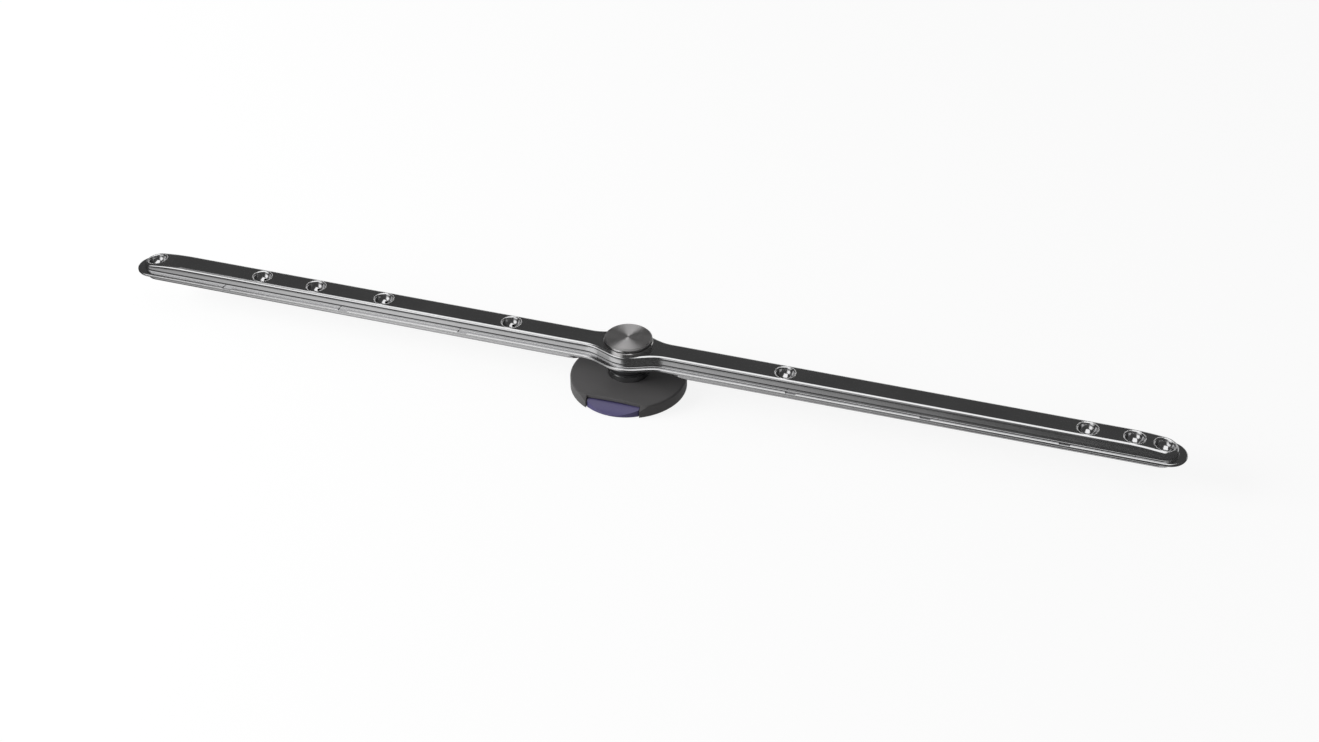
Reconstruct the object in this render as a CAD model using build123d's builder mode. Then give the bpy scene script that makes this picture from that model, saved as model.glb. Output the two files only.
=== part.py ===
from build123d import *
import os
from math import asin, atan, cos, degrees, radians, sin, sqrt, tan

# Lower spray arm of a household dishwasher: two pressed steel shells that spin on a plug-in spindle.
# Millimetres. Origin on the spin axis at the underside of the base, +X along the arm, +Z up.

os.makedirs("parts", exist_ok=True)

# Arm pressing
arm_length = 480.0
sheet = 0.5
channel_half_width = 6.2
channel_height = 4.8
channel_draft = 4.0
upper_wall_height = 1.8
upper_wall_draft = 14.0
wall_bend_radius = 5.0
top_edge_radius = 1.0
hem_width = 2.2
hem_fold = 1.2
hem_edge_radius = 0.7
hem_bend_radius = 0.2
tip_ledge = 3.5
seam_clearance = 0.05
hub_half_width = 11.2
hub_round_radius = 15.0
flank_angle = 23.0
flank_blend_radius = 16.0

# Belly under each arm
belly_half_width = 6.6
belly_start = 18.6
belly_tip_gap = 4.2
belly_depth_hub = 3.4
belly_depth_tip = 3.0
belly_edge_radius = 1.2

# Nozzle bowls: the inner ones are placed from the spin axis, the outer ones from the tips
bowl_radius = 3.85
bowl_depth = 3.6
bowl_lip_radius = 0.8
left_inner_nozzles = (54.5, 115.9)
left_outer_nozzles = (63.7, 90.6)
right_inner_nozzles = (70.6,)
right_outer_nozzles = (22.0, 41.1)
jet_radius = 0.6
jet_lean = 28.0

# Crimps: dents pressed across the flange to lock the hem
crimp_from_tip = 49.0
crimp_pitch = 58.0
crimp_count = 3
crimp_length = 4.6
crimp_depth = 0.3

# Spindle: a socket for the feed pipe below, a neck for the arm above
socket_radius = 8.0
socket_wall = 1.15
socket_depth = 3.7
shoulder_height = 10.0
shoulder_thickness = 1.2
neck_radius = 7.0
neck_wall = 1.2
flange_radius = 11.2
flange_thickness = 0.8
outlet_width = 7.0
outlet_height = 3.0
spindle_crown = 2.6
inlet_clearance = 0.4
seal_step = 0.6
seal_wall = 1.25

# Bearings of the arm on the spindle
running_clearance = 0.06
axial_play = 0.1
seat_clearance = 0.05
lower_washer_thickness = 0.8
upper_washer_thickness = 0.35
washer_clearance = 0.15
washer_inset = 0.25
bush_wall = 1.54
bush_spigot_wall = 0.9
bush_height = 5.1
bush_tail = 1.75
clip_width = 2.2
clip_thickness = 0.6
upper_bush_wall = 0.95
upper_bush_flange = 1.8
upper_bush_flange_thickness = 0.5

# Hub ring and cap
ring_radius = 10.85
ring_height = 1.75
ring_spigot_wall = 1.0
ring_edge_chamfer = 0.3
cap_radius = 10.45
cap_height = 1.5
cap_bevel = 0.6
cap_bevel_height = 0.6
groove_depth = 1.1
stud_radius = 2.4
stud_length = 2.4

# Base housing
base_radius = 25.7
base_wall = 1.6
roof_thickness = 1.4
rim_height = 5.75
rim_round = 0.8
crown_height = 7.3
plate_thickness = 1.4
plate_clearance = 0.15
foot_chamfer = 0.4
boss_radius = 2.6
screw_circle_radius = 19.5
screw_angles = (-10.0, 60.0, 120.0, 190.0)
screw_shank_radius = 1.1
screw_head_radius = 2.2
screw_head_depth = 0.9
screw_length = 3.6
screw_slot_width = 0.5
screw_slot_length = 2.6
screw_slot_depth = 0.5
skirt_wall = 1.4
skirt_lip = 0.5
circlip_thickness = 0.5
circlip_width = 1.5
circlip_opening = 24.0

# Release button, moulded with the latch slide round the inlet
button_travel = 2.5
button_inset = 0.3
button_front_radius = 21.5
button_half_width = 11.8
button_depth = 6.6
button_bottom = 0.4
button_nose = 0.5
button_crown_rise = 0.45
window_clearance = 0.45
lip_setback = 5.2
lip_corner_radius = 8.0
latch_engage = 1.4
latch_clearance = 0.3
slide_half_width = 12.7
slide_thickness = 2.0
slide_gap = 0.3
latch_ring_wall = 3.0
ear_clearance = 0.3
ear_length = 3.6
guide_wall = 1.2
guide_length = 20.0
spring_thickness = 0.3
spring_overhang = 1.0

# Heights of the stack, from the base up
slide_bottom = plate_thickness + slide_gap
slide_top = slide_bottom + slide_thickness
socket_bottom = slide_top + slide_gap
flange_top = crown_height - roof_thickness
hub_floor = shoulder_height + lower_washer_thickness + axial_play + bush_height
floor_top = hub_floor + sheet
hem_top = floor_top + sheet
hem_bottom = hub_floor - sheet
arm_top = hem_top + channel_height
ring_top = arm_top + ring_height
cap_bottom = ring_top + axial_play + upper_washer_thickness
cap_top = cap_bottom + cap_height

# Radii and places that follow from the fits
channel_tip = arm_length / 2 - tip_ledge
lower_wall_height = channel_height - upper_wall_height
wall_bend_height = hem_top + lower_wall_height
wall_lean = lower_wall_height * tan(radians(channel_draft))
socket_outer = socket_radius + socket_wall
bearing_bore = neck_radius + running_clearance
bush_outer = bearing_bore + bush_wall
bush_spigot = bearing_bore + bush_spigot_wall
upper_bush_outer = bearing_bore + upper_bush_wall
ring_spigot = upper_bush_outer + seat_clearance + ring_spigot_wall
cavity_radius = base_radius - base_wall
skirt_radius = flange_radius + plate_clearance
window_half_width = button_half_width + window_clearance
button_front = base_radius - button_inset
button_back = button_front - button_depth
lip_chord = base_radius - lip_setback
front_slope = atan(lip_setback / rim_height)
latch_hole_radius = socket_radius + (button_travel + latch_clearance - latch_engage) / 2
latch_hole_offset = (button_travel + latch_clearance + latch_engage) / 2
latch_ring_radius = latch_hole_radius + latch_ring_wall
ear_half_width = sqrt((cavity_radius - ear_clearance) ** 2 - button_back**2)
screw_places = [
    (screw_circle_radius * cos(radians(a)), screw_circle_radius * sin(radians(a)))
    for a in screw_angles
]
base_up = (Align.CENTER, Align.CENTER, Align.MIN)


def arm_plan(height, spread, tip):
    # Plan of the raised channel grown by spread, with the hub's flare and round tips
    half_width = channel_half_width + spread
    rise = hub_round_radius * (1 / cos(radians(flank_angle)) - 1)
    apex = hub_half_width + rise + spread / cos(radians(flank_angle))
    corner = (apex - half_width) / tan(radians(flank_angle))
    with BuildSketch(Plane.XY.offset(height)) as plan:
        SlotOverall(2 * tip, 2 * half_width)
        with BuildLine():
            Polyline(
                (corner, half_width),
                (0, apex),
                (-corner, half_width),
                (-corner, -half_width),
                (0, -apex),
                (corner, -half_width),
                close=True,
            )
        make_face()
        apexes = plan.vertices().filter_by(lambda v: abs(v.X) < corner / 2)
        fillet(apexes, hub_round_radius + spread)
        corners = plan.vertices().filter_by(lambda v: abs(abs(v.X) - corner) < 0.01)
        fillet(corners, flank_blend_radius - spread)
    return plan.sketch


def turned(*points):
    # Closed profile of radius and height, ready to revolve about the spin axis
    with BuildSketch(Plane.XZ) as profile:
        with BuildLine():
            Polyline(*points, close=True)
        make_face()
    return profile.sketch


def belly(inset):
    # Form of the right-hand belly, shrunk by inset, up to the floor's top face
    tip = arm_length / 2 - belly_tip_gap
    slope = atan((belly_depth_hub - belly_depth_tip) / (tip - belly_start))
    keel = Plane(
        origin=(belly_start, 0, hub_floor - belly_depth_hub + inset),
        x_dir=(cos(slope), 0, sin(slope)),
        z_dir=(-sin(slope), 0, cos(slope)),
    )
    with BuildPart() as form:
        with BuildSketch(Plane.XY.offset(floor_top)):
            with Locations(((belly_start + tip) / 2, 0)):
                SlotOverall(tip - belly_start - 2 * inset, 2 * (belly_half_width - inset))
        extrude(amount=-(floor_top - hub_floor + belly_depth_hub))
        split(bisect_by=keel, keep=Keep.TOP)
        fillet(form.faces().sort_by(Axis.Z)[0].edges(), belly_edge_radius - inset)
    return form.part


# Nozzle stations along the arm: the last one on each side sits in the round tip
end_nozzle = channel_tip - channel_half_width
left_nozzles = [-x for x in left_inner_nozzles] + [d - arm_length / 2 for d in left_outer_nozzles]
right_nozzles = list(right_inner_nozzles) + [arm_length / 2 - d for d in right_outer_nozzles]
nozzles = left_nozzles + right_nozzles + [-end_nozzle, end_nozzle]
bowl_sphere = (bowl_radius**2 + bowl_depth**2) / (2 * bowl_depth)
bowl_centre = arm_top - bowl_depth + bowl_sphere
bowl_cap = -degrees(asin((bowl_centre - arm_top + sheet / 2) / (bowl_sphere + sheet)))
jet_leans = [(x, jet_lean, 0) for x in left_nozzles] + [(x, -jet_lean, 0) for x in right_nozzles]
jet_leans += [(-end_nozzle, 0, -jet_lean), (end_nozzle, 0, jet_lean)]
crimp_middle = channel_half_width + hem_bend_radius + hem_width / 2
crimps = [
    (end * (arm_length / 2 - crimp_from_tip - i * crimp_pitch), side * crimp_middle)
    for i in range(crimp_count)
    for end in (-1, 1)
    for side in (-1, 1)
]

# Upper shell: hem and channel, its wall leaning in above a bend, hollowed to the sheet's thickness
with BuildPart() as arm_upper_shell:
    extrude(arm_plan(hem_bottom, hem_width, arm_length / 2), amount=hem_top - hem_bottom)
    rims = arm_upper_shell.edges().group_by(Axis.Z)
    fillet(rims[0] + rims[-1], hem_edge_radius)
    extrude(arm_plan(hem_top, 0, channel_tip), amount=lower_wall_height, taper=channel_draft)
    extrude(
        arm_plan(wall_bend_height, -wall_lean, channel_tip - wall_lean),
        amount=upper_wall_height,
        taper=upper_wall_draft,
    )
    wall_bend = arm_upper_shell.edges().filter_by_position(
        Axis.Z, wall_bend_height, wall_bend_height
    )
    fillet(wall_bend, wall_bend_radius)
    flange = arm_upper_shell.faces().filter_by_position(Axis.Z, hem_top, hem_top)[0]
    fillet(flange.inner_wires()[0].edges(), hem_bend_radius)
    fillet(arm_upper_shell.faces().sort_by(Axis.Z)[-1].edges(), top_edge_radius)
    # Inside of the channel, the pocket for the floor's edge, and the mouth between the folds
    extrude(
        arm_plan(hem_top, -sheet, channel_tip - sheet),
        amount=lower_wall_height,
        taper=channel_draft,
        mode=Mode.SUBTRACT,
    )
    extrude(
        arm_plan(wall_bend_height, -sheet - wall_lean, channel_tip - sheet - wall_lean),
        amount=upper_wall_height - sheet,
        taper=upper_wall_draft,
        mode=Mode.SUBTRACT,
    )
    extrude(
        arm_plan(floor_top, -sheet, channel_tip - sheet), amount=sheet, mode=Mode.SUBTRACT
    )
    extrude(
        arm_plan(hub_floor, hem_width - sheet, arm_length / 2 - sheet),
        amount=sheet,
        mode=Mode.SUBTRACT,
    )
    extrude(
        arm_plan(hem_bottom, hem_width - hem_fold, arm_length / 2 - hem_fold),
        amount=sheet,
        mode=Mode.SUBTRACT,
    )
    # Nozzle bowls, their rounded lips and leaning jets
    with Locations(*[(x, 0, bowl_centre) for x in nozzles]):
        Sphere(bowl_sphere + sheet, arc_size1=-90, arc_size2=bowl_cap, align=None)
    with Locations(*[(x, 0, bowl_centre) for x in nozzles]):
        Sphere(bowl_sphere, mode=Mode.SUBTRACT)
    lips = arm_upper_shell.edges().filter_by(GeomType.CIRCLE)
    fillet(lips.filter_by(lambda e: abs(e.radius - bowl_radius) < 0.001), bowl_lip_radius)
    with Locations(*[Location((x, 0, bowl_centre), (a, b, 0)) for x, a, b in jet_leans]):
        Cylinder(
            jet_radius,
            bowl_sphere + 2 * sheet,
            align=(Align.CENTER, Align.CENTER, Align.MAX),
            mode=Mode.SUBTRACT,
        )
    # Hole for the ring's spigot, and the crimps
    with Locations((0, 0, arm_top - 2 * sheet)):
        Cylinder(ring_spigot + seat_clearance, 3 * sheet, align=base_up, mode=Mode.SUBTRACT)
    with Locations(*[(x, y, hem_top - crimp_depth / 2) for x, y in crimps]):
        Wedge(
            crimp_length,
            crimp_depth,
            hem_width,
            crimp_depth,
            0,
            crimp_length - crimp_depth,
            hem_width,
            rotation=(-90, 0, 0),
            mode=Mode.SUBTRACT,
        )
arm_upper_shell.part.label = "arm_upper_shell"
export_step(arm_upper_shell.part, "parts/arm_upper_shell.step")

# Lower shell: the floor held in the hem, with a belly under each arm
floor_spread = hem_width - sheet - seam_clearance
with BuildPart() as arm_lower_shell:
    extrude(
        arm_plan(hub_floor, floor_spread, arm_length / 2 - sheet - seam_clearance), amount=sheet
    )
    add(belly(0))
    add(mirror(belly(0), about=Plane.YZ, mode=Mode.PRIVATE))
    add(belly(sheet), mode=Mode.SUBTRACT)
    add(mirror(belly(sheet), about=Plane.YZ, mode=Mode.PRIVATE), mode=Mode.SUBTRACT)
    with Locations((0, 0, hub_floor)):
        Cylinder(bush_spigot + seat_clearance, sheet, align=base_up, mode=Mode.SUBTRACT)
arm_lower_shell.part.label = "arm_lower_shell"
export_step(arm_lower_shell.part, "parts/arm_lower_shell.step")

# Lower bush: hangs under the floor and runs on the spindle's neck
bush_bottom = hub_floor - bush_height
with BuildPart() as hub_bush:
    revolve(
        turned(
            (bearing_bore, bush_bottom),
            (bush_outer, bush_bottom),
            (bush_outer, hub_floor),
            (bush_spigot, hub_floor),
            (bush_spigot, hub_floor + bush_tail),
            (bearing_bore, hub_floor + bush_tail),
        ),
        axis=Axis.Z,
    )
hub_bush.part.label = "hub_bush"
export_step(hub_bush.part, "parts/hub_bush.step")

# Push-on ring that holds the bush in the floor
with BuildPart() as bush_clip:
    with BuildSketch(Plane.XY.offset(floor_top)):
        Circle(bush_spigot + seat_clearance + clip_width)
        Circle(bush_spigot + seat_clearance, mode=Mode.SUBTRACT)
    extrude(amount=clip_thickness)
bush_clip.part.label = "bush_clip"
export_step(bush_clip.part, "parts/bush_clip.step")

# Upper bush: flange under the arm's top sheet, sleeve up through the ring
top_sheet_under = arm_top - sheet
upper_flange_bottom = top_sheet_under - upper_bush_flange_thickness
with BuildPart() as upper_bush:
    revolve(
        turned(
            (bearing_bore, upper_flange_bottom),
            (upper_bush_outer + upper_bush_flange, upper_flange_bottom),
            (upper_bush_outer + upper_bush_flange, top_sheet_under),
            (upper_bush_outer, top_sheet_under),
            (upper_bush_outer, ring_top),
            (bearing_bore, ring_top),
        ),
        axis=Axis.Z,
    )
upper_bush.part.label = "upper_bush"
export_step(upper_bush.part, "parts/upper_bush.step")

# Ring on the arm's top, with a spigot down through the sheet
ring_bore = upper_bush_outer + seat_clearance
with BuildPart() as hub_ring:
    revolve(
        turned(
            (ring_bore, top_sheet_under),
            (ring_spigot, top_sheet_under),
            (ring_spigot, arm_top),
            (ring_radius, arm_top),
            (ring_radius, ring_top),
            (ring_bore, ring_top),
        ),
        axis=Axis.Z,
    )
    outer_rim = hub_ring.edges().filter_by(GeomType.CIRCLE).group_by(SortBy.RADIUS)[-1]
    chamfer(outer_rim.sort_by(Axis.Z)[-1], ring_edge_chamfer)
hub_ring.part.label = "hub_ring"
export_step(hub_ring.part, "parts/hub_ring.step")

# Thrust washers above and below the arm
with BuildPart() as lower_thrust_washer:
    with BuildSketch(Plane.XY.offset(shoulder_height)):
        Circle(socket_outer - washer_inset)
        Circle(neck_radius + washer_clearance, mode=Mode.SUBTRACT)
    extrude(amount=lower_washer_thickness)
lower_thrust_washer.part.label = "lower_thrust_washer"
export_step(lower_thrust_washer.part, "parts/lower_thrust_washer.step")

with BuildPart() as upper_thrust_washer:
    with BuildSketch(Plane.XY.offset(ring_top + axial_play)):
        Circle(cap_radius - groove_depth)
        Circle(neck_radius + washer_clearance, mode=Mode.SUBTRACT)
    extrude(amount=upper_washer_thickness)
upper_thrust_washer.part.label = "upper_thrust_washer"
export_step(upper_thrust_washer.part, "parts/upper_thrust_washer.step")

# Spindle: socket, flange and shoulder below, a neck with four outlets above
neck_bore = neck_radius - neck_wall
socket_top = socket_bottom + socket_depth
shoulder_under = shoulder_height - shoulder_thickness
seal_seat = socket_radius - seal_step
crown_under = cap_bottom - spindle_crown
outlet_bottom = hub_floor + bush_tail + seat_clearance
outlet_reach = 2 * (neck_radius + neck_wall)
with BuildPart() as spindle:
    revolve(
        turned(
            (socket_radius, socket_bottom),
            (socket_outer, socket_bottom),
            (socket_outer, flange_top - flange_thickness),
            (flange_radius, flange_top - flange_thickness),
            (flange_radius, flange_top),
            (socket_outer, flange_top),
            (socket_outer, shoulder_height),
            (neck_radius, shoulder_height),
            (neck_radius, cap_bottom),
            (stud_radius + seat_clearance, cap_bottom),
            (stud_radius + seat_clearance, crown_under),
            (neck_bore, crown_under),
            (neck_bore, shoulder_under),
            (seal_seat, shoulder_under),
            (seal_seat, socket_top),
            (socket_radius, socket_top),
        ),
        axis=Axis.Z,
    )
    shoulder_edges = spindle.edges().filter_by_position(Axis.Z, shoulder_height, shoulder_height)
    chamfer(shoulder_edges.sort_by(SortBy.RADIUS)[-1], washer_inset)
    with Locations((0, 0, outlet_bottom)):
        Box(outlet_reach, outlet_width, outlet_height, align=base_up, mode=Mode.SUBTRACT)
        Box(outlet_width, outlet_reach, outlet_height, align=base_up, mode=Mode.SUBTRACT)
spindle.part.label = "spindle"
export_step(spindle.part, "parts/spindle.step")

# Face seal for the feed pipe, in the step above the socket
with BuildPart() as inlet_seal:
    with BuildSketch(Plane.XY.offset(socket_top)):
        Circle(seal_seat - seat_clearance)
        Circle(seal_seat - seat_clearance - seal_wall, mode=Mode.SUBTRACT)
    extrude(amount=shoulder_under - socket_top)
inlet_seal.part.label = "inlet_seal"
export_step(inlet_seal.part, "parts/inlet_seal.step")

# Turned cap with a bevelled rim, screwed into the spindle's crown
with BuildPart() as hub_cap:
    revolve(
        turned(
            (0, cap_bottom - stud_length),
            (stud_radius, cap_bottom - stud_length),
            (stud_radius, cap_bottom),
            (cap_radius, cap_bottom),
            (cap_radius, cap_top - cap_bevel_height),
            (cap_radius - cap_bevel, cap_top),
            (0, cap_top),
        ),
        axis=Axis.Z,
    )
hub_cap.part.label = "hub_cap"
export_step(hub_cap.part, "parts/hub_cap.step")


def cover_plan():
    # Outline of the cover at its crown's height, drawn from above and looking down: round, with
    # a chord over the button whose ends blend into the rim
    inset = (crown_height - rim_height) * tan(front_slope)
    looking_down = Plane(origin=(0, 0, crown_height), x_dir=(1, 0, 0), z_dir=(0, 0, -1))
    with BuildSketch(looking_down) as plan:
        Circle(base_radius + plate_clearance - inset)
        with Locations((0, lip_chord - inset)):
            Rectangle(
                2 * base_radius,
                2 * base_radius,
                align=(Align.CENTER, Align.MAX),
                mode=Mode.INTERSECT,
            )
        fillet(plan.vertices(), lip_corner_radius - inset)
    return plan.sketch


# Housing cover: a shallow dome open below, sloped at the front, with the button's window cut in it
cover_hole = socket_outer + seat_clearance
with BuildPart() as housing_cover:
    revolve(
        turned(
            (cavity_radius, 0),
            (base_radius, 0),
            (base_radius, rim_height),
            (cover_hole, crown_height),
            (cover_hole, flange_top),
            (skirt_radius, flange_top),
            (skirt_radius, socket_bottom + skirt_lip + circlip_thickness),
            (skirt_radius + circlip_thickness, socket_bottom + skirt_lip + circlip_thickness),
            (skirt_radius + circlip_thickness, socket_bottom + skirt_lip),
            (skirt_radius, socket_bottom + skirt_lip),
            (skirt_radius, socket_bottom),
            (skirt_radius + skirt_wall, socket_bottom),
            (skirt_radius + skirt_wall, flange_top),
            (cavity_radius, rim_height - roof_thickness),
        ),
        axis=Axis.Z,
    )
    outer_edges = housing_cover.edges().filter_by(GeomType.CIRCLE).group_by(SortBy.RADIUS)[-1]
    fillet(outer_edges.sort_by(Axis.Z)[-1], rim_round)
    outer_edges = housing_cover.edges().filter_by(GeomType.CIRCLE).group_by(SortBy.RADIUS)[-1]
    chamfer(outer_edges.sort_by(Axis.Z)[0], foot_chamfer)
    extrude(
        cover_plan(), amount=crown_height, taper=-degrees(front_slope), mode=Mode.INTERSECT
    )
    # Bosses for the screws
    with BuildSketch(Plane.XY.offset(plate_thickness + seat_clearance)):
        with Locations(*screw_places):
            Circle(boss_radius)
    extrude(until=Until.NEXT)
    with Locations(*[(x, y, plate_thickness) for x, y in screw_places]):
        Cylinder(
            screw_shank_radius + seat_clearance,
            screw_length - plate_thickness + seat_clearance,
            align=base_up,
            mode=Mode.SUBTRACT,
        )
    with BuildSketch():
        with Locations((0, -lip_chord)):
            Rectangle(2 * window_half_width, base_radius, align=(Align.CENTER, Align.MAX))
    extrude(amount=crown_height, mode=Mode.SUBTRACT)
housing_cover.part.label = "housing_cover"
export_step(housing_cover.part, "parts/housing_cover.step")

# Open ring in the skirt's groove, under the spindle's flange
circlip_outer = skirt_radius + circlip_thickness - seat_clearance
gap_reach = 2 * circlip_outer
gap_half_width = gap_reach * tan(radians(circlip_opening / 2))
with BuildPart() as spindle_circlip:
    with BuildSketch(Plane.XY.offset(socket_bottom + skirt_lip)):
        Circle(circlip_outer)
        Circle(circlip_outer - circlip_width, mode=Mode.SUBTRACT)
        with BuildLine():
            Polyline((0, 0), (gap_reach, gap_half_width), (gap_reach, -gap_half_width), close=True)
        make_face(mode=Mode.SUBTRACT)
    extrude(amount=circlip_thickness)
spindle_circlip.part.label = "spindle_circlip"
export_step(spindle_circlip.part, "parts/spindle_circlip.step")

# Base plate: closes the cover from below and guides the slide between two ribs
notch_chord = button_back - button_travel - latch_clearance
guide_offset = slide_half_width + slide_gap + guide_wall / 2
with BuildPart() as base_plate:
    with BuildSketch():
        Circle(cavity_radius - plate_clearance)
        Circle(socket_radius + inlet_clearance, mode=Mode.SUBTRACT)
        with Locations((0, -notch_chord)):
            Rectangle(
                2 * window_half_width,
                base_radius,
                align=(Align.CENTER, Align.MAX),
                mode=Mode.SUBTRACT,
            )
    extrude(amount=plate_thickness)
    with BuildSketch(Plane.XY.offset(plate_thickness)):
        with Locations((-guide_offset, 0), (guide_offset, 0)):
            Rectangle(guide_wall, guide_length)
    extrude(amount=slide_top - plate_thickness)
    with Locations(*screw_places):
        Cylinder(
            screw_shank_radius + seat_clearance, plate_thickness, align=base_up, mode=Mode.SUBTRACT
        )
        Cone(
            screw_head_radius + seat_clearance,
            screw_shank_radius + seat_clearance,
            screw_head_depth,
            align=base_up,
            mode=Mode.SUBTRACT,
        )
base_plate.part.label = "base_plate"
export_step(base_plate.part, "parts/base_plate.step")

# Countersunk screws with a cross recess
with BuildPart() as base_screws:
    with Locations(*screw_places):
        Cone(screw_head_radius, screw_shank_radius, screw_head_depth, align=base_up)
        Cylinder(screw_shank_radius, screw_length, align=base_up)
        Box(screw_slot_width, screw_slot_length, 2 * screw_slot_depth, mode=Mode.SUBTRACT)
        Box(screw_slot_length, screw_slot_width, 2 * screw_slot_depth, mode=Mode.SUBTRACT)
base_screws.part.label = "base_screws"
export_step(base_screws.part, "parts/base_screws.step")

# Release button: a convex thumb face in front, then the slide with its guide ears and latch hole
front_centre = button_front_radius - button_front
roof_slope = (flange_top - rim_height + roof_thickness) / (cavity_radius - skirt_radius - skirt_wall)
button_corner = sqrt(button_half_width**2 + lip_chord**2)
button_top = rim_height - roof_thickness + (cavity_radius - button_corner) * roof_slope - slide_gap
with BuildPart() as release_button:
    with BuildSketch(Plane.XY.offset(button_bottom)):
        with Locations((0, front_centre)):
            Circle(button_front_radius)
        with Locations((0, -button_back)):
            Rectangle(
                2 * button_half_width,
                button_depth,
                align=(Align.CENTER, Align.MAX),
                mode=Mode.INTERSECT,
            )
    extrude(amount=button_top - button_bottom)
    with BuildSketch(Plane.YZ):
        with BuildLine():
            nose = (-button_front, button_bottom + button_nose)
            brow = (-lip_chord, button_top)
            SagittaArc(nose, brow, button_crown_rise)
            Polyline(
                brow,
                (-button_back, button_top),
                (-button_back, button_bottom),
                (-button_front, button_bottom),
                nose,
            )
        make_face()
    extrude(amount=button_half_width, both=True, mode=Mode.INTERSECT)
    with BuildSketch(Plane.XY.offset(slide_bottom)):
        with Locations((0, -button_back)):
            Rectangle(
                2 * slide_half_width,
                button_back - latch_hole_offset,
                align=(Align.CENTER, Align.MIN),
            )
            Rectangle(2 * ear_half_width, ear_length, align=(Align.CENTER, Align.MIN))
        with Locations((0, -latch_hole_offset)):
            Circle(latch_ring_radius)
            Circle(latch_hole_radius, mode=Mode.SUBTRACT)
    extrude(amount=slide_thickness)
release_button.part.label = "release_button"
export_step(release_button.part, "parts/release_button.step")

# Return spring: a bowed strip that lies against two screw bosses and pushes the slide forward
spring_apex = latch_ring_radius - latch_hole_offset + seat_clearance + spring_thickness
boss_x, boss_y = screw_places[1]
boss_reach = boss_radius + seat_clearance
apex_to_boss = boss_y - spring_apex
spring_bend = (boss_x**2 + apex_to_boss**2 - boss_reach**2) / (2 * (apex_to_boss - boss_reach))
with BuildPart() as return_spring:
    with BuildSketch(Plane.XY.offset(slide_bottom)):
        with Locations((0, spring_apex + spring_bend)):
            Circle(spring_bend + spring_thickness)
            Circle(spring_bend, mode=Mode.SUBTRACT)
            Rectangle(
                2 * (boss_x + spring_overhang),
                spring_bend + spring_thickness,
                align=(Align.CENTER, Align.MAX),
                mode=Mode.INTERSECT,
            )
    extrude(amount=slide_thickness)
return_spring.part.label = "return_spring"
export_step(return_spring.part, "parts/return_spring.step")
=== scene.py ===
import math

import bmesh
import bpy
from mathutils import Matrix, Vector, geometry
from mathutils.bvhtree import BVHTree


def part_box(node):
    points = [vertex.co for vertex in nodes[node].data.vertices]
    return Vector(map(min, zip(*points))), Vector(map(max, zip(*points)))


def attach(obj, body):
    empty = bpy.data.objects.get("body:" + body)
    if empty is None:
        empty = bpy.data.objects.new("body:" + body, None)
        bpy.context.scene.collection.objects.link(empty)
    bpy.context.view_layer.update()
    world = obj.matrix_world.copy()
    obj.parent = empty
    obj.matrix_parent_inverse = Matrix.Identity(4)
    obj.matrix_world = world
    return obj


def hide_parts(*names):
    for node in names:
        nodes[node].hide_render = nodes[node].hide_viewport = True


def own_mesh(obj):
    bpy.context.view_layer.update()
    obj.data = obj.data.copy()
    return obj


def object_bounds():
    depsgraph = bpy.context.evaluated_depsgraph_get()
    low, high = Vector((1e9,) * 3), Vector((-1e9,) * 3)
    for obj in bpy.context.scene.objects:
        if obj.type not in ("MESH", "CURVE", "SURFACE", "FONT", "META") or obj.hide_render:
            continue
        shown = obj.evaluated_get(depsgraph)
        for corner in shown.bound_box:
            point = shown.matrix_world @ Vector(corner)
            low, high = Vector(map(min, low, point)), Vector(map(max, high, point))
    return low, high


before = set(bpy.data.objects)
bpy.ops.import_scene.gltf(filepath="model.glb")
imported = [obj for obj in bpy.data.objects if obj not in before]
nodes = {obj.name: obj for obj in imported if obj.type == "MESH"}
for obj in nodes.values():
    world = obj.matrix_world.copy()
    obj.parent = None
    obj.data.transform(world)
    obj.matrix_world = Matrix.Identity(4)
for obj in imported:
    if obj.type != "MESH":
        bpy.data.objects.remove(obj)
cadLow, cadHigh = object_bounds()
scene = bpy.context.scene
mm = 0.001

print("stage 1: frame loaded, overall size", [round(x, 4) for x in cadHigh - cadLow])


# Small helpers for objects

def placeObject(name, data):
    thing = bpy.data.objects.new(name, data)
    scene.collection.objects.link(thing)
    return thing


def bakeObject(holder, name):
    # the holder with its modifiers applied, as a plain object in its place
    bpy.context.view_layer.update()
    mesh = bpy.data.meshes.new_from_object(holder.evaluated_get(bpy.context.evaluated_depsgraph_get()))
    bpy.data.objects.remove(holder)
    return placeObject(name, mesh)


# Small helpers for node trees

def setInputs(node, values):
    for name, value in values.items():
        node.inputs[name.replace("_", " ")].default_value = value


def addNode(tree, kind, props=None, **values):
    node = tree.nodes.new(kind)
    for name, value in (props or {}).items():
        setattr(node, name, value)
    setInputs(node, values)
    return node


def join(tree, source, target):
    tree.links.new(source, target)


def feed(tree, socket, value):
    # another socket is linked, anything else becomes the socket's own value
    if isinstance(value, bpy.types.NodeSocket):
        join(tree, value, socket)
    else:
        socket.default_value = value


def mathNode(tree, operation, *operands):
    node = addNode(tree, "ShaderNodeMath", {"operation": operation})
    for socket, value in zip(node.inputs, operands):
        feed(tree, socket, value)
    return node.outputs[0]


def vectorNode(tree, operation, *operands, output="Vector"):
    node = addNode(tree, "ShaderNodeVectorMath", {"operation": operation})
    for socket, value in zip(node.inputs, operands):
        feed(tree, socket, value)
    return node.outputs[output]


def splitNode(tree, vector):
    parts = tree.nodes.new("ShaderNodeSeparateXYZ")
    join(tree, vector, parts.inputs[0])
    return parts.outputs


def noiseNode(tree, coords, **values):
    node = addNode(tree, "ShaderNodeTexNoise", **values)
    join(tree, coords, node.inputs["Vector"])
    return node


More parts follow.
